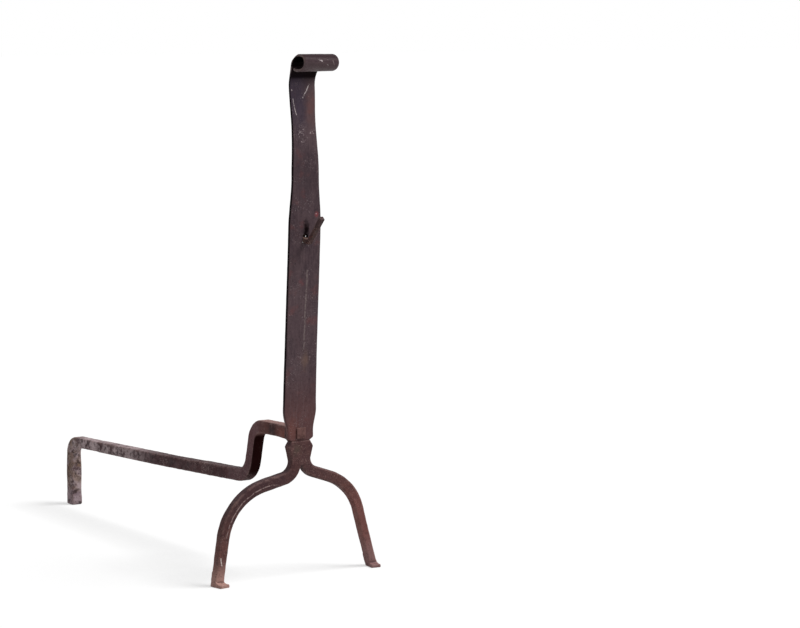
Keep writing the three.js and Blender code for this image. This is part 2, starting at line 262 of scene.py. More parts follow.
# %% The strip's middle line
LAP = (-4.2, 160.8)  # y of the strip where it lies on the tongue, and the height where it leaves it
STRIP_FOOT = 136.1
BOW = np.array([  # y, z
    LAP, (-4.5, 182), (-7.8, 240), (-14.2, 340), (-16.2, 408), (-12.3, 458), (-10.7, 481),
])
ROLL_MIDDLE = np.array([-35.4, 505.05])
ROLL_REACH, ROLL_RISE, ROLL_TILT = 11.0, 6.8, math.radians(-10)
ROLL_START, ROLL_END = math.radians(92), math.radians(338)
NECK_PULL, TOP_PULL = 16.0, 11.0


def through_points(points, steps):
    """A smooth line through points: at each one it heads from its neighbour before to its neighbour after."""
    padded = np.concatenate([[2 * points[0] - points[1]], points, [2 * points[-1] - points[-2]]])
    t = np.linspace(0, 1, steps, endpoint=False)[None, :, None]
    a, b, c, d = (padded[i : len(points) - 1 + i, None] for i in range(4))
    curve = b + (c - a) / 2 * t + (a - 2.5 * b + 2 * c - d / 2) * t**2 + (1.5 * (b - c) + (d - a) / 2) * t**3
    return np.concatenate([curve.reshape(-1, 2), points[-1:]])


def oval(turn):
    """The roll's middle line: an ellipse about ROLL_MIDDLE, tilted down to the back. Also gives its heading."""
    tilt = np.array([[math.cos(ROLL_TILT), math.sin(ROLL_TILT)], [-math.sin(ROLL_TILT), math.cos(ROLL_TILT)]])
    place = np.stack([ROLL_REACH * np.cos(turn), ROLL_RISE * np.sin(turn)], axis=1) @ tilt
    heading = np.stack([-ROLL_REACH * np.sin(turn), ROLL_RISE * np.cos(turn)], axis=1) @ tilt
    return ROLL_MIDDLE + place, unit(heading)


def turn_over(start, start_heading, end, end_heading):
    """A cubic curve from the neck to the top of the roll, pulled along both headings."""
    t = np.linspace(0, 1, 40)[:, None]
    pull, hold = start + NECK_PULL * start_heading, end - TOP_PULL * end_heading
    return start * (1 - t) ** 3 + 3 * pull * t * (1 - t) ** 2 + 3 * hold * t**2 * (1 - t) + end * t**3


bow = through_points(BOW, 24)
roll, roll_heading = oval(np.linspace(ROLL_START, ROLL_END, 60))
over_top = turn_over(bow[-1], unit(bow[-1] - bow[-2]), roll[0], roll_heading[0])
strip_yz = evenly(np.concatenate([[(LAP[0], STRIP_FOOT)], bow, over_top[1:], roll[1:]]), 1.0)
strip_line = np.insert(strip_yz, 0, 0.0, axis=1)
print("strip's middle line:", len(strip_line), "points, top at z =", strip_line[:, 2].max().round(1))

# %% [markdown]
# ## The strip's width
#
# The strip narrows to the neck and flares to the roll. A table of measured half widths is eased from one height
# to the next. The left edge swells a little just above the joint, where the strip was hammered down onto the
# tongue.

# %% Half widths and thicknesses along the strip
STRIP_HALF = [  # height, half the width
    (136.1, 10.6), (139.4, 14.6), (146, 14.5), (168, 18.2), (228, 17.8), (345, 17.8),
    (396, 14.9), (446, 13.2), (481, 14.3),
]
STRIP_THICK = [(160.8, 4.2), (182, 3.8), (400, 3.8), (490, 2.8)]  # height, thickness
ROLL_HALF = 19.3
FLARE_RUN = 15.0
STRIP_EDGE = 0.9
SWELL, SWELL_Z, SWELL_REACH = 0.8, 158.0, 9.0


def smooth(share):
    share = np.clip(share, 0, 1)
    return share * share * (3 - 2 * share)


def eased(table, at):
    """Values between the table's entries, leaving and reaching each entry level: an S curve between each pair."""
    places, values = np.array(table, float).T
    after = np.clip(np.searchsorted(places, at), 1, len(places) - 1)
    share = (at - places[after - 1]) / (places[after] - places[after - 1])
    return values[after - 1] + (values[after] - values[after - 1]) * smooth(share)


y, z = strip_yz.T
past_neck = np.arange(len(z)) > np.argmax(z > BOW[-1, 1])
flare = np.where(past_neck, smooth((BOW[-1, 0] - y) / FLARE_RUN), 0)
strip_half = eased(STRIP_HALF, z)
strip_half = np.where(past_neck, STRIP_HALF[-1][1] + (ROLL_HALF - STRIP_HALF[-1][1]) * flare, strip_half)
strip_thick = eased(STRIP_THICK, z) / 2
left_swell = SWELL * np.exp(-(((z - SWELL_Z) / SWELL_REACH) ** 2)) * ~past_neck
print("strip: narrowest half width", strip_half.min().round(1), "widest", strip_half.max().round(1))

# %% [markdown]
# ## The hole for the hook
#
# The spit hook hangs in an upright oblong hole punched through the strip. A Boolean modifier could cut it, but
# it would leave ragged faces. The grid gives a cleaner way: two columns of points stand just outside the hole's
# sides, the faces between them are left out in front and behind, and a short wall joins the two openings.

# %% Grid columns that leave room for the hole
HOLE_HALF_WIDE, HOLE_HALF_TALL, HOLE_Z = 2.7, 3.8, 335.3
HOLE_RIM = 0.3  # the rim's rounding
SIDE_COLUMNS, HOLE_COLUMNS = 14, 7  # grid columns beside the hole on each side, and across it

core_half = np.interp(HOLE_Z, z[~past_neck], strip_half[~past_neck]) - STRIP_EDGE
hole_side = (HOLE_HALF_WIDE + HOLE_RIM) / core_half
columns = np.concatenate([
    np.linspace(-1, -hole_side, SIDE_COLUMNS), np.linspace(-hole_side, hole_side, HOLE_COLUMNS)[1:-1],
    np.linspace(hole_side, 1, SIDE_COLUMNS),
])
strip_ring = section_ring(columns, np.linspace(-1, 1, 4), arc_steps=4)
strip_rings, foot_pole, lip_pole = carried(
    strip_line, SIDEWAYS, strip_half + left_swell, strip_half, strip_thick, STRIP_EDGE, strip_ring,
)
print("strip grid:", strip_rings.shape[:2])

# %% Leave the hole's faces out and wall it in
WALL_SHARES = (0.12, 0.35, 0.65, 0.88)  # where the wall's loops stand, from the front opening to the rear one


def level_rows(rings):
    """The rows just below and above the hole. Both are moved to stand exactly level there."""
    heights = rings[:, rings.shape[1] // 4, 2].copy()
    below_neck = np.arange(len(heights)) < np.argmax(heights > BOW[-1, 1])
    rows = []
    for level in (HOLE_Z - HOLE_HALF_TALL - HOLE_RIM, HOLE_Z + HOLE_HALF_TALL + HOLE_RIM):
        row = np.argmin(np.where(below_neck, np.abs(heights - level), np.inf))
        rings[row, :, 2] += level - heights[row]
        rows.append(row)
    return rows


def punch_hole(rings, quads, low, high):
    """The grid without the faces over the hole, and a wall from the front opening's loop to the rear one's.

    The wall's inner loops stand inside both rims, drawn in by the rounding, so the hole's edge is soft.
    """
    around = rings.shape[1]
    left, right = SIDE_COLUMNS - 1, len(columns) - SIDE_COLUMNS
    front_column = np.arange(left, right + 1)
    rear_column = around // 2 + len(columns) - 1 - front_column
    gone = np.zeros(quads.shape[:2], bool)
    gone[low:high, left:right] = True
    gone[low:high, rear_column[-1] : rear_column[0]] = True

    def loop(column):
        rows = np.arange(low, high + 1)
        across, back = (rows[0], column[:-1]), (rows[-1], column[:0:-1])
        up, down = (rows[:-1], column[-1]), (rows[:0:-1], column[0])
        return np.concatenate([row * around + col for row, col in (across, up, back, down)])

    front, rear = loop(front_column), loop(rear_column)
    flat = rings.reshape(-1, 3)
    middle = flat[front].mean(axis=0) * [0, 0.5, 1] + flat[rear].mean(axis=0) * [0, 0.5, 0]
    drawn_in = [1 - HOLE_RIM / (HOLE_HALF_WIDE + HOLE_RIM), 1, 1 - HOLE_RIM / (HOLE_HALF_TALL + HOLE_RIM)]
    betweens = [flat[front] + (flat[rear] - flat[front]) * share for share in WALL_SHARES]
    wall_points = np.concatenate([middle + (between - middle) * drawn_in for between in betweens])
    poles = 2
    added = len(flat) + poles + np.arange(len(wall_points)).reshape(len(WALL_SHARES), -1)
    ways = np.concatenate([[front], added, [rear]])
    beside = np.roll(ways, -1, axis=1)
    wall = np.stack([ways[:-1], beside[:-1], beside[1:], ways[1:]], axis=-1).reshape(-1, 4)
    return quads[~gone], wall_points, wall


hole_rows = level_rows(strip_rings)
strip_points, strip_quads, strip_fans = skin(strip_rings, [foot_pole, lip_pole])
kept_quads, wall_points, wall_quads = punch_hole(strip_rings, strip_quads, *hole_rows)
print("hole: left out", strip_quads[..., 0].size - len(kept_quads), "faces, wall of", len(wall_quads))

# %% [markdown]
# ## The twist in the roll
#
# The smith rolled the eye a little out of true: its left end stands up at the front and its right end dips. A
# turn about the roll's own middle, growing with the distance from the centre line, gives that.

# %% Twist the roll and put the upright together
ROLL_TWIST = math.radians(8)
TWIST_PAST, TWIST_Z, TWIST_EASE = 2.0, 488.0, 8.0


def twisted(points):
    """Each point past the neck is turned about the roll's middle, in its own plane, in step with its x."""
    x, y, z = points.T
    share = smooth((BOW[-1, 0] - TWIST_PAST - y) / FLARE_RUN) * smooth((z - TWIST_Z) / TWIST_EASE)
    turn = ROLL_TWIST * share * x / ROLL_HALF
    dy, dz = y - ROLL_MIDDLE[0], z - ROLL_MIDDLE[1]
    spun_y = ROLL_MIDDLE[0] + dy * np.cos(turn) - dz * np.sin(turn)
    spun_z = ROLL_MIDDLE[1] + dy * np.sin(turn) + dz * np.cos(turn)
    return np.stack([x, spun_y, spun_z], axis=1)


upright = make_piece(
    "rolled_upright",
    twisted(np.concatenate([strip_points, wall_points])),
    kept_quads.tolist() + wall_quads.tolist() + strip_fans.tolist(),
)
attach(upright, "andiron")
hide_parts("upright")
print("upright:", len(upright.data.vertices), "points")

# %% [markdown]
# ## The fork
#
# Hub, tongue and legs are one piece: a thick bar split up the middle, its halves spread and bent down as legs.
# Each part is carried along its own line, and a voxel Remesh welds them where they overlap, with soft fillets,
# much as the forge does. Joining the grids by hand would leave creases.

# %% Hub and tongue
SEAT_Z = 135.8
HUB_HALF = [  # height, half the width: waist, shoulders, the V nicks, the tongue
    (112, 10.4), (117, 10.4), (130.6, 13.9), (135.8, 10.6), (139.1, 14.2), (148.4, 13.6), (156.8, 7.5),
]
HUB_FRONT, TONGUE_FRONT, HUB_BACK = -7.2, -1.8, 2.4
HUB_EDGE = 1.2

hub_z = np.linspace(HUB_HALF[0][0], HUB_HALF[-1][0], 91)
hub_front = np.where(hub_z < SEAT_Z, HUB_FRONT, TONGUE_FRONT)
hub_line = np.stack([0 * hub_z, (hub_front + HUB_BACK) / 2, hub_z], axis=1)
hub_half = np.interp(hub_z, *np.array(HUB_HALF).T)
flat_ring = section_ring(np.linspace(-1, 1, 9), np.linspace(-1, 1, 5))
hub = carried(hub_line, SIDEWAYS, hub_half, hub_half, (HUB_BACK - hub_front) / 2, HUB_EDGE, flat_ring)
print("hub and tongue:", hub_z[0], "to", hub_z[-1], "mm high")

# %% [markdown]
# ## The legs and toes
#
# The two legs aren't mirror images: the left one runs out almost level and turns down late, the right one drops
# sooner. Each starts straight down out of the hub, bends out, rounds the knee and steps slightly back as it
# falls. Its toe is hammered thin and turned forward.

# %% Carry the legs and toes
LEG_DEPTH, LEG_RAKE, LEG_MIDDLE = 9.6, 0.0627, -2.4
WAIST_Z, LEG_ROOT, ELBOW_RADIUS, KNEE_RADIUS = 117.0, 5.0, 15.0, 56.0
LEG_TOP_WIDE, LEG_EDGE = 10.4, 1.8
TOE_RISE, TOE_REACH, TOE_TIP_THICK, TOE_TURN, TOE_BEND, SOLE = 14.0, 7.6, 3.6, 1.8, 5.0, 0.4
LEGS = {
    "left": dict(side=-1, hub_x=5.2, hub_wide=11.8, foot_x=89.3, foot_wide=10.4,
                 elbow_z=102.4, knee_x=79.4, knee_z=86.6),
    "right": dict(side=1, hub_x=5.9, hub_wide=11.3, foot_x=90.0, foot_wide=9.3,
                  elbow_z=107.6, knee_x=62.3, knee_z=87.8),
}


def leg_rings(side, hub_x, hub_wide, foot_x, foot_wide, elbow_z, knee_x, knee_z):
    """A bent bar in the plane of the legs, set back by the rake, with its widths eased along its length."""
    below_x = foot_x + LEG_ROOT * (foot_x - knee_x) / knee_z
    xz = bend([
        (side * hub_x, WAIST_Z + LEG_ROOT, 0), (side * hub_x, elbow_z, ELBOW_RADIUS),
        (side * knee_x, knee_z, KNEE_RADIUS), (side * below_x, -LEG_ROOT, 0),
    ])
    x, z = xz.T
    line = np.stack([x, LEG_MIDDLE + LEG_RAKE * np.maximum(0, WAIST_Z - z), z], axis=1)
    share = np.linspace(0, 1, len(line))
    half = eased([(0, LEG_TOP_WIDE), (0.12, hub_wide), (0.25, hub_wide), (0.75, foot_wide)], share) / 2
    depth = LEG_DEPTH / 2
    return carried(line, (0, 1, 0), depth, depth, half, LEG_EDGE, square_ring)


def toe_rings(side, foot_x, foot_wide, knee_x, knee_z, **_):
    """A short bar down the foot of the leg and forward along the hearth, thinning to its tip."""
    leg_y = LEG_MIDDLE + LEG_RAKE * WAIST_Z
    tip_y = leg_y - LEG_DEPTH / 2 - TOE_REACH
    sole_z = TOE_TIP_THICK / 2 - SOLE
    y, z = bend([(leg_y, TOE_RISE, 0), (leg_y, sole_z, TOE_BEND), (tip_y, sole_z, 0)], 0.5).T
    out = np.clip((leg_y - y) / (leg_y - tip_y), 0, 1)
    x = side * (foot_x - (foot_x - knee_x) / knee_z * z - TOE_TURN * out)
    half = (foot_wide - SOLE + (SOLE + 1) * out) / 2
    thick = (LEG_DEPTH - SOLE + (TOE_TIP_THICK - LEG_DEPTH + SOLE) * smooth(out / 0.75)) / 2
    return carried(np.stack([x, y, z], axis=1), SIDEWAYS, half, half, thick, STRIP_EDGE, square_ring)


fork_parts = [hub] + [rings(**leg) for leg in LEGS.values() for rings in (leg_rings, toe_rings)]
print("fork parts to weld:", len(fork_parts))

# %% Weld the fork
FORK_VOXEL = 0.55 * MM


def apply_modifiers(piece):
    """The piece keeps what its modifiers make of it, and the modifiers go."""
    graph = bpy.context.evaluated_depsgraph_get()
    rough = piece.data
    piece.data = bpy.data.meshes.new_from_object(piece.evaluated_get(graph))
    piece.modifiers.clear()
    bpy.data.meshes.remove(rough)


fork = make_piece("leg_fork_forged", *joined(*fork_parts))
weld = fork.modifiers.new("forge_weld", "REMESH")
weld.mode = "VOXEL"
weld.voxel_size = FORK_VOXEL
apply_modifiers(fork)
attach(fork, "andiron")
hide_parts("leg_fork")
print("fork after the weld:", len(fork.data.vertices), "points")

# %% [markdown]
# ## The log bar
#
# One square bar carries the logs. It is upset, that is thickened, where it bears on the tongue, steps down
# behind the upright, sags slightly along its run and is bent down at the rear as the third foot.

# %% Carry the log bar
SHOULDER_Y, STUB_Z = 2.7, 142.6
STEP_TOP, STEP_FOOT, REAR = (75.4, 141.6), (88.4, 87.8), (478.6, 72.2)
RUN_MIDDLE_Y, RUN_SAG = 250.0, 1.0
BAR_HALF_WIDE, SHOULDER_HALF_WIDE, UPSET_RUN = 6.3, 7.8, 30.0
BAR_TALL, BAR_REAR_TALL, REAR_FOOT_THICK = 12.8, 11.4, 13.8
REAR_TAPER, REAR_BEND = 30.0, 15.0
STUB_BEND, STEP_TOP_BEND, STEP_FOOT_BEND, SAG_BEND = 60, 19, 24, 2000
BAR_EDGE = 1.7

run_z = np.interp(RUN_MIDDLE_Y, *np.array([STEP_FOOT, REAR]).T) - RUN_SAG
y, z = bend([
    (SHOULDER_Y, STUB_Z, 0), (SHOULDER_Y + UPSET_RUN, STUB_Z, STUB_BEND), (*STEP_TOP, STEP_TOP_BEND),
    (*STEP_FOOT, STEP_FOOT_BEND), (RUN_MIDDLE_Y, run_z, SAG_BEND), (*REAR, REAR_BEND), (REAR[0], 0, 0),
]).T
bar_line = np.stack([0 * y, y, z], axis=1)
on_run = smooth((y - STEP_FOOT[0]) / (REAR[0] - STEP_FOOT[0]))
on_foot = 1 - smooth((z - (REAR[1] - REAR_TAPER)) / (REAR_TAPER - REAR_BEND))
on_foot = on_foot * (y > RUN_MIDDLE_Y)
bar_tall = BAR_TALL + (BAR_REAR_TALL - BAR_TALL) * on_run
bar_tall = bar_tall + (REAR_FOOT_THICK - bar_tall) * on_foot
upset = 1 - smooth((y - SHOULDER_Y) / UPSET_RUN)
bar_half = BAR_HALF_WIDE + (SHOULDER_HALF_WIDE - BAR_HALF_WIDE) * upset
bar_tube = carried(bar_line, SIDEWAYS, bar_half, bar_half, bar_tall / 2, BAR_EDGE, square_ring)
bar_points, bar_faces = joined(bar_tube)
log_bar = make_piece("log_bar_forged", bar_points, bar_faces)
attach(log_bar, "andiron")
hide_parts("log_bar")
print("log bar:", len(log_bar.data.vertices), "points, reaching back to y =", bar_points[:, 1].max().round(1))

# %% [markdown]
# ## The tenon's head
#
# The bar's end passes through tongue and strip as a tenon, and its tip is hammered over in front, as on a
# rivet. What shows is a small square block with a soft crown: the same carried section, very short.

# %% Carry the tenon's head
HEAD_Z, HEAD_BACK, HEAD_FRONT = 144.0, -6.4, -8.1
HEAD_HALF_WIDE, HEAD_HALF_TALL, HEAD_EDGE, HEAD_CROWN = 4.9, 5.45, 0.6, 0.35

head_line = np.linspace([0, HEAD_BACK, HEAD_Z], [0, HEAD_FRONT, HEAD_Z], 3)
tenon_head = make_piece("tenon_head", *joined(carried(
    head_line, (-1, 0, 0), HEAD_HALF_WIDE, HEAD_HALF_WIDE, HEAD_HALF_TALL, HEAD_EDGE, square_ring, HEAD_CROWN,
)))
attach(tenon_head, "andiron")
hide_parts("log_bar")
print("tenon head:", len(tenon_head.data.vertices), "points")

# %% [markdown]
# ## The spit hook
#
# A small square bar goes through the hole and rests on its lower front edge. Its tail, hammered wide, stands up
# against the back of the strip, so that it can't pull through, and its arm rises in front to hold a spit.

# %% Carry the hook
HOOK_BAR, HOOK_TIP_BAR, HOOK_SHANK_WIDE, HOOK_TAIL_WIDE, HOOK_EDGE, HOOK_CROWN = 4.1, 4.4, 5.0, 7.6, 0.35, 0.3
HOOK_SHARES = dict(tip=(0.6, 0.4), shank=(0.34, 0.1), tail=(0.19, 0.05))  # where a width changes, over how far
HOOK_DROOP, HOOK_RISE = math.radians(15), math.radians(47)
HOOK_SHANK, HOOK_ARM, HOOK_TAIL, HOOK_BEND = 9.4, 34.3, 15.0, 3.5
FIT_GAP, STRIP_HALF_THICK = 0.3, 1.9


def strip_y_at(height):
    """Where the middle of the strip lies, front to back, at a height below the roll."""
    return np.interp(height, strip_yz[~past_neck, 1], strip_yz[~past_neck, 0])


hole_y = strip_y_at(HOLE_Z)
tail_lean = strip_y_at(HOLE_Z + HOOK_TAIL) - hole_y
rest_z = HOLE_Z - HOLE_HALF_TALL + FIT_GAP
shank_z = rest_z + STRIP_HALF_THICK * math.tan(HOOK_DROOP) + HOOK_BAR / 2 / math.cos(HOOK_DROOP)
tail_y = hole_y + STRIP_HALF_THICK + FIT_GAP + HOOK_BAR / 2
tail_z = shank_z + (tail_y - hole_y) * math.tan(HOOK_DROOP)
crook_y, crook_z = hole_y - HOOK_SHANK * math.cos(HOOK_DROOP), shank_z - HOOK_SHANK * math.sin(HOOK_DROOP)
y, z = bend([
    (tail_y + tail_lean, tail_z + HOOK_TAIL, 0), (tail_y, tail_z, HOOK_BEND), (crook_y, crook_z, HOOK_BEND),
    (crook_y - HOOK_ARM * math.cos(HOOK_RISE), crook_z + HOOK_ARM * math.sin(HOOK_RISE), 0),
], 0.5).T
hook_share = np.linspace(0, 1, len(y))
past_tip, past_shank, past_tail = (smooth((hook_share - start) / run) for start, run in HOOK_SHARES.values())
hook_half = (HOOK_BAR + (HOOK_TIP_BAR - HOOK_BAR) * past_tip) / 2
hook_half_wide = hook_half + (HOOK_SHANK_WIDE / 2 - hook_half) * (1 - past_shank)
hook_half_wide += (HOOK_TAIL_WIDE / 2 - hook_half_wide) * (1 - past_tail)
hook_line = np.stack([0 * y, y, z], axis=1)
hook = make_piece("spit_hook_forged", *joined(carried(
    hook_line, SIDEWAYS, hook_half_wide, hook_half_wide, hook_half, HOOK_EDGE, square_ring, HOOK_CROWN,
)))
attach(hook, "hook")
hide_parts("spit_hook")
print("hook:", len(hook.data.vertices), "points")

# %% [markdown]
# ## Hammer marks
#
# Every blow leaves a shallow dish, with faint ridges between the dishes. A Displace modifier with a noise
# texture makes round lumps instead. So the marks are worked out here: each point sinks by how near it is to the
# closest of many scattered centres, and slow noise makes the flats wander. A point may rise only a little, so
# that pieces stay clear of each other.

# %% Seeded noise and hammer blows
LATTICE = 32  # cells along each side before the random numbers repeat
HIGHEST_RISE = 0.12


def wander(points, size, seed):
    """Smooth noise from -1 to 1: random heights on a lattice `size` mm apart, blended between its corners."""
    heights = np.random.default_rng(seed).uniform(-1, 1, (LATTICE,) * 3)
    cell = np.floor(points / size).astype(int)
    share = smooth(points / size - cell)
    total = np.zeros(len(points))
    for corner in np.ndindex(2, 2, 2):
        weight = np.prod(np.where(corner, share, 1 - share), axis=1)
        total += weight * heights[tuple(((cell + corner) % LATTICE).T)]
    return total


def blows(points, size, seed):
    """How deep each point lies in its blow: 1 - (distance to the nearest centre / size) squared."""
    scatter = np.random.default_rng(seed).uniform(0.1, 0.9, (LATTICE,) * 3 + (3,))
    cell = np.floor(points / size).astype(int)
    nearest = np.full(len(points), 9.0)
    for step in np.ndindex(3, 3, 3):
        beside = cell + np.array(step) - 1
        centre = beside + scatter[tuple((beside % LATTICE).T)]
        nearest = np.minimum(nearest, ((points / size - centre) ** 2).sum(axis=1))
    return 1 - np.clip(nearest, 0, 1)


def vertex_array(mesh, kind):
    values = np.empty(len(mesh.vertices) * 3)
    mesh.vertices.foreach_get(kind, values)
    return values.reshape(-1, 3)


def hammer(piece, node, blow_size, blow_depth, wander_size, wander_depth, seed):
    """Sinks each point along its normal by its blow and by slow noise, and keeps it inside the frame's box."""
    mesh = piece.data
    points, normals = vertex_array(mesh, "co"), vertex_array(mesh, "normal")
    sink = blow_depth * blows(points / MM, blow_size, seed)
    sink += wander_depth * wander(points / MM, wander_size, seed + 1) / 2
    sink = np.maximum(sink - sink.mean(), -HIGHEST_RISE)
    points -= normals * sink[:, None] * MM
    mesh.vertices.foreach_set("co", np.clip(points, *map(np.array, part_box(node))).ravel())
    mesh.update()
    print(f"{piece.name}: sunk {sink.max():.2f} mm at most")


for piece, *work in (  # node, size and depth of the blows, size and depth of the slow noise, seed
    (upright, "upright", 14, 0.15, 30, 0.3, 11),
    (fork, "leg_fork", 8, 0.35, 16, 0.5, 21),
    (log_bar, "log_bar", 9, 0.4, 20, 0.7, 31),
    (tenon_head, "log_bar", 4, 0.15, 6, 0.2, 41),
    (hook, "spit_hook", 3.5, 0.12, 6, 0.12, 51),
):
    hammer(piece, *work)

# %% [markdown]
# ## Where edges are rubbed
#
# Handling polishes the ridges and leaves the hollows dark. How far a point stands above the average of its
# neighbours tells them apart. Each mesh keeps that number as an attribute that its finish reads.

# %% Measure ridges and hollows


def mark_ridges(piece, rounds=8):
    """Height of each point over a smoothed copy of the surface, scaled so that the sharpest ridges reach 1."""
    mesh = piece.data
    points, normals = vertex_array(mesh, "co"), vertex_array(mesh, "normal")
    edges = np.empty(len(mesh.edges) * 2, int)
    mesh.edges.foreach_get("vertices", edges)
    one, other = edges.reshape(-1, 2).T
    ends, others = np.concatenate([one, other]), np.concatenate([other, one])
    count = np.bincount(ends, minlength=len(points))[:, None]
    soft = points.copy()
    for _ in range(rounds):
        total = np.stack([np.bincount(ends, soft[others, k], len(points)) for k in range(3)], axis=1)
        soft = (soft + total / count) / 2
    lift = ((points - soft) * normals).sum(axis=1)
    lift = np.clip(lift / np.quantile(lift, 0.97), -1, 1)
    mesh.attributes.new("ridge", "FLOAT", "POINT").data.foreach_set("value", lift)
    print(f"{piece.name}: {100 * (lift > 0.5).mean():.0f}% of the points are on ridges")


for piece in (upright, fork, log_bar, tenon_head, hook):
    mark_ridges(piece)

# %% [markdown]
# ## Painting iron with nodes
#
# A finish is a small tree of nodes. Object coordinates tell where a point lies, noise gives scale, rust and
# specks, and each layer is mixed over the last by its own mask. Colours are written as they look, from 0 to
# 255, and turned into the linear values that Blender works with.

# %% Node helpers


def paint(red, green, blue):
    """A colour as it looks on screen, in linear light: the sRGB curve undone."""
    values = np.array([red, green, blue]) / 255
    linear = np.where(values <= 0.04045, values / 12.92, ((values + 0.055) / 1.055) ** 2.4)
    return (*linear.tolist(), 1.0)


SHEEN = 0.14  # old, oxidised iron shines little


class Nodes:
    """A tree of nodes while it is being built."""

    def __init__(self, tree):
        self.tree = tree

    def put(self, socket, value):
        if isinstance(value, bpy.types.NodeSocket):
            self.tree.links.new(value, socket)
        else:
            socket.default_value = value

    def node(self, kind, inputs=(), **settings):
        made = self.tree.nodes.new(kind)
        for name, value in settings.items():
            setattr(made, name, value)
        for socket, value in dict(inputs).items():
            self.put(made.inputs[socket], value)
        return made

    def math(self, kind, one, other=0.0):
        return self.node("ShaderNodeMath", {0: one, 1: other}, operation=kind).outputs[0]

    def times(self, *values):
        total = values[0]
        for value in values[1:]:
            total = self.math("MULTIPLY", total, value)
        return total


class Finish(Nodes):
    """One material while it is being painted. Its masks go from 0, nothing, to 1, full."""

    def __init__(self, name, base):
        self.material = bpy.data.materials.new(name)
        self.material.use_nodes = True
        super().__init__(self.material.node_tree)
        self.shader = self.tree.nodes["Principled BSDF"]
        self.where = self.node("ShaderNodeTexCoord").outputs["Object"]
        self.ridge = self.node("ShaderNodeAttribute", attribute_name="ridge").outputs["Fac"]
        self.x, self.y, self.z = self.node("ShaderNodeSeparateXYZ", {0: self.where}).outputs
        normal = self.node("ShaderNodeNewGeometry").outputs["Normal"]
        self.normal = dict(zip("xyz", self.node("ShaderNodeSeparateXYZ", {0: normal}).outputs))
        self.colour = paint(*base)
        self.sheen = SHEEN

    def noise(self, size, detail=4.0, rough=0.6, stretch=(1, 1, 1), shift=0.0):
        """Noise with grains of about `size` mm, longer along an axis where `stretch` is above 1."""
        scale = [1 / (size * MM * factor) for factor in stretch]
        moved = self.node("ShaderNodeMapping", {0: self.where, "Scale": scale, "Location": (shift,) * 3})
        grains = {0: moved.outputs[0], "Scale": 1.0, "Detail": detail, "Roughness": rough}
        return self.node("ShaderNodeTexNoise", grains).outputs["Fac"]

    def waver(self, reach, *noise):
        """Noise that swings about 0, by half of `reach` either way."""
        return self.times(self.math("SUBTRACT", self.noise(*noise), 0.5), reach)

    def ramp(self, value, none, full):
        """0 at `none`, 1 at `full`, an S curve between them. Either end may be the lower one."""
        return self.node(
            "ShaderNodeMapRange", {0: value, 1: none, 2: full}, interpolation_type="SMOOTHSTEP"
        ).outputs[0]

    def level(self, none, full):
        """A mask by height, in millimetres."""
        return self.ramp(self.z, none * MM, full * MM)

    def side(self, none, full):
        """A mask from left to right, in millimetres."""
        return self.ramp(self.x, none * MM, full * MM)

    def depth(self, none, full):
        """A mask from front to back, in the smith's millimetres."""
        return self.ramp(self.y, *placed([[0, none, 0], [0, full, 0]])[:, 1].tolist())

    def facing(self, axis, none, full):
        """A mask by how far the surface looks along an axis, from -1 to 1."""
        return self.ramp(self.normal[axis], none, full)

    def patches(self, none, full, *size_and_detail, **shape):
        """A mask of noise, from its values `none` to `full`."""
        return self.ramp(self.noise(*size_and_detail, **shape), none, full)

    def layer(self, colour, *masks):
        """Paints a colour over what is there, as thick as all the masks together let it."""
        self.colour = self.node(
            "ShaderNodeMix", {0: self.times(*masks), 6: self.colour, 7: paint(*colour)}, data_type="RGBA"
        ).outputs[2]


print("a mid grey of 128 is", round(paint(128, 128, 128)[0], 3), "in linear light")

# %% [markdown]
# ## What all the iron has in common
#
# Fire leaves dark scale in clouds of two tones. Over it come rust, fine pale specks where the scale has flaked,
# and rubbed ridges. The surface is pitted, so noise also drives the bump and the roughness.

# %% Layers shared by every finish


def scale_clouds(finish, dark, size, strength, stretch=(1, 1, 1), shift=0.0):
    """Large soft clouds of a darker tone, broken up by a fine mottle."""
    clouds = finish.patches(0.40, 0.62, size, 6, 0.65, stretch, shift)
    mottle = finish.patches(0.25, 0.6, size / 6, 4, 0.7, stretch, shift + 3)
    finish.layer(dark, clouds, mottle, strength)


def grain(finish, dark, pale, size, strength):
    """A fine grain of darker and paler spots that touch each other, as on scale that has weathered for years."""
    spots = finish.noise(size, 3, 0.7, shift=44)
    finish.layer(dark, finish.ramp(spots, 0.48, 0.3), strength)
    finish.layer(pale, finish.ramp(spots, 0.54, 0.74), strength)


def specks(finish, colour, size, amount, strength, *masks, patch_size=18, shift=0.0):
    """Small flecks, gathered in patches. `amount` from 0 to 1 says how many there are."""
    flecks = finish.ramp(finish.noise(size, 2, 0.5, shift=shift), 0.7 - 0.14 * amount, 0.78 - 0.12 * amount)
    patches = finish.patches(0.45, 0.6, patch_size, 2, 0.5, shift=shift + 9)
    finish.layer(colour, flecks, patches, strength, *masks)


def rubbed_ridges(finish, colour, strength, size=5):
    """Bare, polished metal along the ridges, worn through in some places and not in others."""
    worn = finish.patches(0.38, 0.62, size, 4, 0.6)
    finish.layer(colour, finish.ramp(finish.ridge, 0.15, 0.9), worn, strength)


def dark_hollows(finish, colour, strength):
    finish.layer(colour, finish.ramp(finish.ridge, -0.1, -0.9), strength)


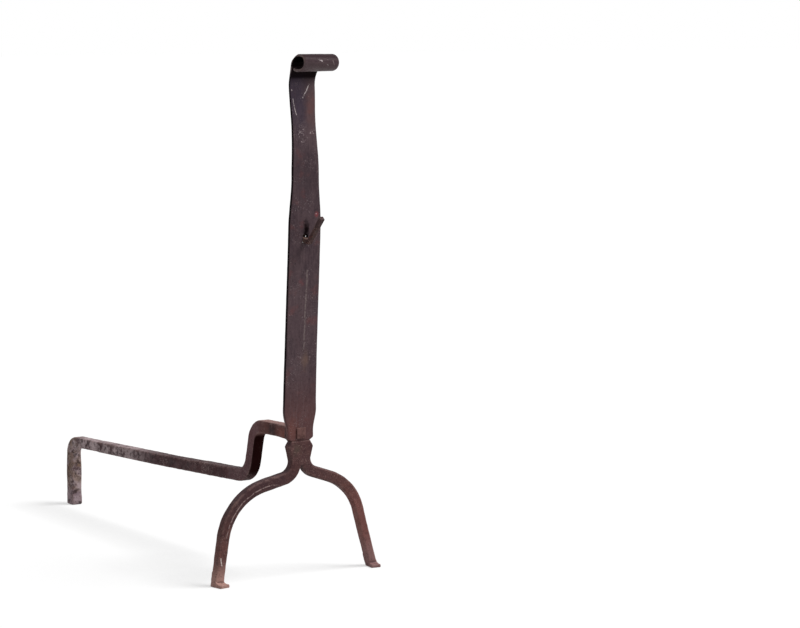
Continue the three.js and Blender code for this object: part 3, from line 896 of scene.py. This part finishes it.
def complete(finish, smooth_rough, pitted_rough, pit_size, pit_depth):
    """Joins colour and sheen to the shader, with roughness in patches and a bump of fine and coarse pits."""
    pits = finish.math("ADD", finish.times(finish.noise(pit_size, 5, 0.65), 0.6),
                       finish.times(finish.noise(pit_size * 4, 3, 0.6, shift=5), 0.4))
    bump = finish.node("ShaderNodeBump", {"Height": pits, "Strength": 1.0, "Distance": pit_depth * MM})
    span = pitted_rough - smooth_rough
    patches = finish.patches(0.3, 0.7, pit_size * 8, 4, 0.6, shift=2)
    roughness = finish.math("ADD", finish.times(patches, span), smooth_rough)
    for socket, value in {"Base Color": finish.colour, "Roughness": roughness, "Normal": bump.outputs["Normal"],
                          "Specular IOR Level": finish.sheen}.items():
        finish.put(finish.shader.inputs[socket], value)
    print(finish.material.name, "has", len(finish.tree.nodes), "nodes")


def dress(piece, finish):
    piece.data.materials.clear()
    piece.data.materials.append(finish.material)


# %% [markdown]
# ## Marks at a known place
#
# Some marks belong to one spot. A scratch is the distance from a line, in coordinates turned to lie along it. A
# stain is the distance from its middle, in coordinates squeezed to its shape, with noise to make its edge
# ragged.

# %% Scratches and stains
RAGGED = 1.1  # how far the noise moves a stain's edge, in units of its reach
WAVER, CORE = 2.5, 0.55  # how far a scratch wavers and how wide its full middle is, in units of its width
# The second colour is black, for painted shade in and under the roll and for the hook's painted shadow.
PALE_SCRATCH, SHADE_BLACK = (232, 218, 218), (12, 5, 6)


def scratch(finish, start, end, width, colour=PALE_SCRATCH, strength=0.85):
    """A thin broken line on the front, from start to end (x and z in the smith's millimetres).

    A Mapping node of the texture kind moves the start to the origin and turns the mark onto the x axis, so a
    point belongs to the mark where |z| is below the width and x is between 0 and the length.
    """
    first, last = placed([start[0], 0, start[1]]), placed([end[0], 0, end[1]])
    run = last - first
    length = float(np.linalg.norm(run))
    turned = finish.node("ShaderNodeMapping", {
        0: finish.where, "Location": first.tolist(), "Rotation": (0, -math.atan2(run[2], run[0]), 0),
    }, vector_type="TEXTURE")
    along, _, off = finish.node("ShaderNodeSeparateXYZ", {0: turned.outputs[0]}).outputs
    off = finish.math("ABSOLUTE", finish.math("ADD", off, finish.waver(WAVER * width * MM, 5, 3)))
    from_middle = finish.math("ABSOLUTE", finish.math("SUBTRACT", along, length / 2))
    finish.layer(
        colour,
        finish.ramp(off, width * MM, width * MM * CORE),
        finish.ramp(from_middle, length / 2, length / 2 - MM),
        finish.patches(0.36, 0.5, 1.6, 2),
        finish.facing("y", -0.2, -0.6),
        strength,
    )


def distance(finish, middle, reach):
    """How far a point is from `middle`, in units of `reach` along x, y and z (the smith's millimetres)."""
    squeezed = finish.node("ShaderNodeMapping", {
        0: finish.where, "Location": placed(middle).tolist(), "Scale": [size * MM for size in reach],
    }, vector_type="TEXTURE")
    return finish.node("ShaderNodeVectorMath", {0: squeezed.outputs[0]}, operation="LENGTH").outputs["Value"]


def spot(finish, middle, reach, inner=0.1):
    """Full inside `inner` of the reach, gone at the whole reach, give or take the ragged noise."""
    edge = finish.math("ADD", distance(finish, middle, reach), finish.waver(RAGGED, 5, 4, 0.6, (1, 1, 1), 7))
    return finish.ramp(edge, 1.0, inner)


def stain(finish, middle, reach, colour, strength):
    finish.layer(colour, spot(finish, middle, reach), strength)


def painted_shade(finish, colour, strength, *masks):
    """Painted shade: a matt dark layer that covers the colour and takes the sheen away."""
    cover = finish.times(strength, *masks)
    finish.layer(colour, cover)
    finish.sheen = finish.times(finish.sheen, finish.math("SUBTRACT", 1.0, cover))


# %% [markdown]
# ## The upright's patina
#
# The strip is purplish dark brown, and its marks run up and down. It turns redder towards the joint and bluish
# at the neck. Painted shade blackens the inside of the roll, the strip right under it and the strip's left side,
# and darkens the faces that look up; a painted shadow of the hook lies above its hole. Painted light from the
# floor brightens the roll where it faces down. The rim of the roll is rubbed paler.

# %% The upright's finish
patina = Finish("upright_iron_patina", (81, 64, 69))
scale_clouds(patina, (56, 42, 49), 20, 0.9, stretch=(1, 1, 2.2))
scale_clouds(patina, (98, 79, 82), 26, 0.5, stretch=(1, 1, 3), shift=21)
patina.layer((106, 62, 62), patina.patches(0.54, 0.7, 14, 5, shift=4), 0.5)
roll_only = patina.level(494, 499)
below_roll = patina.level(497, 491)
neck = patina.times(patina.level(430, 470), patina.side(8, -6), below_roll)
patina.layer((82, 70, 88), neck, 0.72)
stain(patina, (0, -16, 400), (30, 20, 42), (50, 38, 44), 0.4)
patina.layer((66, 50, 54), roll_only, 0.6)
patina.layer((96, 62, 60), patina.level(215, 150), 0.75)
drawn_lines = patina.ramp(patina.noise(1.3, 3, stretch=(1, 1, 26)), 0.5, 0.68)
patina.layer((108, 90, 92), drawn_lines, 0.3)
grain(patina, (52, 38, 44), (110, 92, 94), 2.6, 0.35)
for mark in (  # middle, reach, colour, strength
    ((8, -13, 460), (9, 12, 24), (110, 76, 72), 0.4), ((12.4, -16, 358.5), (3, 8, 3.8), (142, 66, 72), 0.7),
    ((-3, -9, 293), (5, 9, 6), (122, 66, 68), 0.7), ((4, -7, 216), (6, 9, 14), (124, 98, 84), 0.5),
    ((-10, -7, 147), (10, 9, 18), (116, 70, 62), 0.55),
):
    stain(patina, *mark)
specks(patina, (176, 160, 160), 0.9, 0.6, 0.6, shift=13)
low_neck = patina.times(patina.level(415, 432), patina.level(452, 440))
specks(patina, (190, 172, 174), 1.1, 0.9, 0.7, low_neck, patch_size=9, shift=16)
specks(patina, (34, 24, 28), 1.4, 0.6, 0.5, patch_size=30, shift=31)
rubbed_ridges(patina, (132, 112, 112), 0.5)
# Painted shade: the faces that look up are darkened and lose most of their sheen.
painted_shade(patina, (54, 40, 44), 0.85, patina.facing("z", 0.25, 0.8))

# %% Scratches, painted shade and light, and rubbed rim on the upright
left_side = patina.facing("x", -0.4, -0.75)
for mark in (
    ((7.8, 484.5), (-0.6, 470.4), 0.6), ((-11.4, 471), (-10.4, 462.4), 0.55), ((-10.6, 463), (-8, 454), 0.5),
    ((-12.6, 480), (-12.2, 477.4), 0.7), ((-4.2, 508.4), (0.9, 506.4), 0.6), ((5.5, 503.6), (8, 502.6), 0.5),
    ((12.6, 359.6), (11, 358.4), 0.6), ((3.2, 305), (2, 226), 0.9, (122, 108, 106)),
    ((12, 508), (14.5, 501), 0.5, (140, 124, 124)),
):
    scratch(patina, *mark)
# Painted light from the floor: the roll is paler where it faces down.
patina.layer((104, 86, 88), patina.facing("z", 0.05, -0.25), roll_only, 0.45)
patina.layer((112, 92, 88), left_side, roll_only, patina.patches(0.3, 0.6, 4, 3, shift=28), 0.75)
# Painted shade: the strip's front just under the roll goes dark, then black.
shade_under_roll = patina.times(patina.depth(-27, -19), patina.facing("y", -0.2, -0.6))
painted_shade(patina, (34, 24, 31), 0.5, shade_under_roll, patina.level(482, 490))
painted_shade(patina, SHADE_BLACK, 0.85, shade_under_roll, patina.level(488, 491.5))
# Painted shade: black on the inner top of the roll.
painted_shade(patina, SHADE_BLACK, 0.95, patina.level(500, 502), patina.facing("z", -0.05, -0.4), patina.depth(-40, -36))
# Painted shade: the strip's left side, from above the joint up to the roll, is nearly black.
painted_shade(patina, (17, 11, 13), 0.92, left_side, below_roll, patina.level(150, 182))
# Painted shade: black all round the inside of the roll.
painted_shade(patina, SHADE_BLACK, 0.97, patina.ramp(distance(patina, (0, *ROLL_MIDDLE), (400, 10.4, 6.2)), 1.05, 0.95))
# Painted shadow of the hook's arm, black just above its hole.
painted_shade(patina, SHADE_BLACK, 0.95, spot(patina, (0.8, -14, 344), (4.6, 9, 13), inner=0.3))
complete(patina, 0.42, 0.62, 1.1, 0.12)
dress(upright, patina)

# %% [markdown]
# ## The fork's rust
#
# The legs stand at the embers' edge, so they are redder. Hub and left arch are darker and purplish, with a thin
# bright line along the arch. The right leg is ruddier, and both pale towards the toes, scoured by ash and
# floor.

# %% The fork's finish
rust = Finish("leg_iron_rust", (96, 64, 61))
scale_clouds(rust, (66, 44, 46), 13, 0.9)
scale_clouds(rust, (118, 76, 68), 9, 0.5, shift=17)
rust.layer((142, 84, 72), rust.patches(0.58, 0.72, 6, 5, shift=8), 0.25)
right_leg = rust.times(rust.side(24, 60), rust.level(92, 66))
rust.layer((140, 88, 82), right_leg, 0.55)
arch = rust.times(rust.level(58, 88), rust.side(60, 20))
rust.layer((76, 52, 54), arch, 0.68)
rust.layer((54, 38, 43), rust.side(-8, -26), rust.level(46, 66), 0.45)
stain(rust, (-5, -7, 128), (8, 9, 9), (82, 70, 60), 0.5)
# Painted shade: faces that look up are darker above 60 mm.
rust.layer((60, 42, 45), rust.facing("z", 0.2, 0.8), rust.level(40, 60), 0.7)
left_foot = rust.times(rust.level(30, 4), rust.side(0, -20))
right_foot = rust.times(rust.level(44, 6), rust.side(0, 20))
rust.layer((186, 146, 136), left_foot, 0.85)
rust.layer((148, 116, 116), right_foot, 0.65)
grain(rust, (56, 36, 37), (136, 100, 96), 3.0, 0.42)
specks(rust, (196, 164, 154), 0.9, 0.7, 0.42, shift=23)
specks(rust, (40, 24, 24), 1.5, 0.8, 0.6, shift=41)
rubbed_ridges(rust, (156, 124, 118), 0.3)
RIDGE_INSIDE, RIDGE_WAVER = 1.0, 2.4  # how far the bright line lies inside the bar's middle, and how it wavers
left_leg = LEGS["left"]
knee_centre, *_ = arc_centre(
    np.array([-left_leg["hub_x"], left_leg["elbow_z"]]), np.array([-left_leg["knee_x"], left_leg["knee_z"]]),
    np.array([-left_leg["foot_x"], 0.0]), KNEE_RADIUS,
)
from_centre = distance(rust, (knee_centre[0], 0, knee_centre[1]), (1, 1e4, 1))
off_line = rust.math("SUBTRACT", from_centre, KNEE_RADIUS - RIDGE_INSIDE)
off_line = rust.math("ABSOLUTE", rust.math("ADD", off_line, rust.waver(RIDGE_WAVER, 9, 3)))
bright_line = rust.times(rust.ramp(off_line, 0.7, 0.25), rust.facing("y", -0.3, -0.6), rust.side(-22, -38))
rust.layer((184, 160, 156), bright_line, rust.level(40, 56), rust.patches(0.4, 0.55, 3, 3, shift=6), 0.7)
dark_hollows(rust, (44, 28, 28), 0.6)
scratch(rust, (-88.6, 29), (-87.2, 20), 0.7, (230, 214, 206), 0.9)
complete(rust, 0.55, 0.8, 1.3, 0.2)
dress(fork, rust)

# %% [markdown]
# ## The log bar's bloom
#
# Heat and ash have worked hardest at the rear: from front to back the bar goes from dark maroon through grey to
# a mottled, almost white bloom. Its top is paler at the front and towards the rear, darker between. Painted shade
# makes the front of the step nearly black, and painted light makes its left side a lighter mauve.

# %% The log bar's finish
bloom = Finish("bar_iron_bloom", (80, 53, 55))
scale_clouds(bloom, (52, 34, 37), 16, 0.9)
bloom.layer((112, 72, 66), bloom.level(100, 138), 0.6)
bloom.layer((86, 66, 69), bloom.depth(200, 310), 0.7)
ash = bloom.patches(0.40, 0.58, 18, 8, 0.72, shift=12)
bloom.layer((202, 182, 184), ash, bloom.depth(270, 360), 0.85)
at_rear = bloom.depth(440, 474)
bloom.layer((132, 108, 90), bloom.patches(0.42, 0.6, 9, 5, shift=19), at_rear, 0.7)
bloom.layer((168, 148, 158), bloom.level(24, 6), at_rear, 0.6)
burnt = bloom.patches(0.5, 0.6, 7, 7, 0.72, shift=6)
bloom.layer((46, 33, 34), burnt, bloom.depth(160, 300), 0.8)
stain(bloom, (-6, 38, 142), (6, 11, 12), (50, 40, 42), 0.8)
stain(bloom, (-7, 15, 141), (8, 18, 8), (132, 76, 66), 0.6)
# Upward faces: paler at the front and towards the rear, darker between.
upward = bloom.facing("z", 0.55, 0.9)
bloom.layer((160, 126, 120), upward, bloom.depth(100, 70), 0.6)
bloom.layer((56, 40, 42), upward, bloom.depth(70, 100), bloom.depth(330, 240), 0.7)
bloom.layer((150, 134, 136), upward, bloom.depth(250, 340), 0.4)

# %% Step, specks and ridges of the log bar
on_step = bloom.depth(140, 110)
# The step's front gets painted shade, where the upright shades it, and its left side gets painted light.
shaded_front_of_step = bloom.times(bloom.facing("y", -0.5, -0.85), on_step, bloom.depth(30, 50))
lit_side_of_step = bloom.times(bloom.facing("x", -0.5, -0.85), bloom.depth(54, 68))
# Painted light: the step's left side in a lighter mauve.
bloom.layer((112, 82, 86), lit_side_of_step, on_step, 0.65)
grain(bloom, (42, 29, 31), (136, 114, 114), 2.8, 0.45)
specks(bloom, (196, 180, 176), 1.0, 0.7, 0.6, shift=27)
pale_run = bloom.times(bloom.depth(150, 175), bloom.depth(225, 200))
specks(bloom, (190, 168, 166), 1.1, 1.0, 0.8, pale_run, patch_size=12, shift=29)
rubbed_ridges(bloom, (150, 122, 118), 0.4)
dark_hollows(bloom, (36, 25, 25), 0.6)
# Painted shade: the step's front nearly black and matt.
painted_shade(bloom, (30, 8, 7), 0.95, shaded_front_of_step)
complete(bloom, 0.6, 0.9, 1.4, 0.25)
dress(log_bar, bloom)

# %% [markdown]
# ## The tenon's head and the hook
#
# The hammered head is paler than the strip round it. The hook is dark, with rust in spots and a few bright
# flecks at its tip.

# %% The two small finishes
head_finish = Finish("bar_iron_head", (112, 80, 76))
scale_clouds(head_finish, (78, 52, 50), 5, 0.8)
grain(head_finish, (64, 42, 42), (140, 108, 100), 2.0, 0.4)
rubbed_ridges(head_finish, (160, 128, 120), 0.5, size=3)
dark_hollows(head_finish, (44, 30, 30), 0.6)
complete(head_finish, 0.5, 0.75, 0.9, 0.12)
dress(tenon_head, head_finish)

hook_finish = Finish("hook_iron_rusty", (86, 62, 60))
scale_clouds(hook_finish, (50, 34, 36), 6, 0.9)
hook_finish.layer((150, 78, 52), hook_finish.patches(0.6, 0.72, 3, 4, shift=3), 0.5)
# Painted light: the shank in the hole and the tail behind it are paler.
hook_finish.layer((116, 95, 86), hook_finish.depth(-20, -17), 0.6)
hook_finish.layer((54, 40, 44), hook_finish.level(345, 354), 0.6)
specks(hook_finish, (190, 170, 160), 0.7, 0.7, 0.6, patch_size=9, shift=15)
rubbed_ridges(hook_finish, (130, 98, 88), 0.5, size=3)
dark_hollows(hook_finish, (30, 20, 20), 0.6)
complete(hook_finish, 0.5, 0.78, 0.9, 0.15)
dress(hook, hook_finish)

# %% [markdown]
# ## Floor and light
#
# The andiron stands on a plain pale floor in soft daylight from the right. For what is seen directly, in a
# shine or through glass, the floor glows a little, so it clears to white and still holds the shadow of the
# feet. The sky lights softly, but it is seen white.

# %% A switch for rays that see
WHITE = (1, 1, 1, 1)


def empty_tree(owner):
    """The owner's node tree, cleared and ready to be filled."""
    owner.use_nodes = True
    owner.node_tree.nodes.clear()
    return Nodes(owner.node_tree)


def seen_rays(nodes):
    """1 for camera, glossy and transmission rays, 0 for those that only carry light."""
    ray = nodes.node("ShaderNodeLightPath").outputs
    direct = nodes.math("MAXIMUM", ray["Is Camera Ray"], ray["Is Glossy Ray"])
    return nodes.math("MAXIMUM", direct, ray["Is Transmission Ray"])


# %% Floor
FLOOR_SPAN = 60.0
FLOOR_GREY, FLOOR_GLOW = 0.5, 0.52

reach = FLOOR_SPAN / 2
floor_mesh = bpy.data.meshes.new("floor")
floor_mesh.from_pydata(
    [(-reach, -reach, 0), (reach, -reach, 0), (reach, reach, 0), (-reach, reach, 0)], [], [(0, 1, 2, 3)]
)
floor = bpy.data.objects.new("floor", floor_mesh)
bpy.context.scene.collection.objects.link(floor)

floor_finish = bpy.data.materials.new("pale_floor")
nodes = empty_tree(floor_finish)
diffuse = nodes.node("ShaderNodeBsdfDiffuse", {"Color": (FLOOR_GREY, FLOOR_GREY, FLOOR_GREY, 1)})
glow = nodes.node("ShaderNodeEmission", {"Strength": nodes.times(seen_rays(nodes), FLOOR_GLOW)})
both = nodes.node("ShaderNodeAddShader", {0: diffuse.outputs[0], 1: glow.outputs[0]})
nodes.node("ShaderNodeOutputMaterial", {"Surface": both.outputs[0]})
floor_mesh.materials.append(floor_finish)
print("floor:", FLOOR_SPAN, "m wide")

# %% Light
SKY_LIGHT, SUN_LIGHT, SUN_SOFTNESS = 0.4, 2.4, math.radians(32)
SUN_FROM = Vector((0.6, -0.5, 1.1))

world = bpy.data.worlds.new("studio")
bpy.context.scene.world = world
nodes = empty_tree(world)
light = nodes.node("ShaderNodeBackground", {"Color": WHITE, "Strength": SKY_LIGHT})
seen = nodes.node("ShaderNodeBackground", {"Color": WHITE})
either = nodes.node("ShaderNodeMixShader", {0: seen_rays(nodes), 1: light.outputs[0], 2: seen.outputs[0]})
nodes.node("ShaderNodeOutputWorld", {"Surface": either.outputs[0]})

lamp = bpy.data.lights.new("daylight", "SUN")
lamp.energy = SUN_LIGHT
lamp.angle = SUN_SOFTNESS
daylight = bpy.data.objects.new("daylight", lamp)
daylight.rotation_euler = SUN_FROM.to_track_quat("Z", "Y").to_euler()
bpy.context.scene.collection.objects.link(daylight)
print("sun of", SUN_LIGHT, "over a sky of", SKY_LIGHT)

# %% [markdown]
# ## The camera
#
# The photograph was taken from the andiron's left front, a little above its top, from about 2.6 m away. Place
# and direction were worked out from where the feet, the joint and the rolled top lie in the picture.

# %% Camera
EYE = (-1371.8, -2208.7, 550.35)  # in the smith's millimetres
LOOKING = Vector((0.55661, 0.82334, -0.11089))
LENS, SENSOR_WIDE, FARTHEST = 120.63, 36, 100

camera_data = bpy.data.cameras.new("camera")
camera_data.lens = LENS
camera_data.sensor_width = SENSOR_WIDE
camera_data.sensor_fit = "HORIZONTAL"
camera_data.clip_end = FARTHEST
camera = bpy.data.objects.new("camera", camera_data)
camera.location = placed(EYE)
camera.rotation_euler = LOOKING.to_track_quat("-Z", "Y").to_euler()
bpy.context.scene.collection.objects.link(camera)
bpy.context.scene.camera = camera
bpy.context.scene.view_settings.view_transform = "Standard"
print("camera stands", round((camera.location - Vector(placed([0, 0, 250]))).length, 2), "m away")
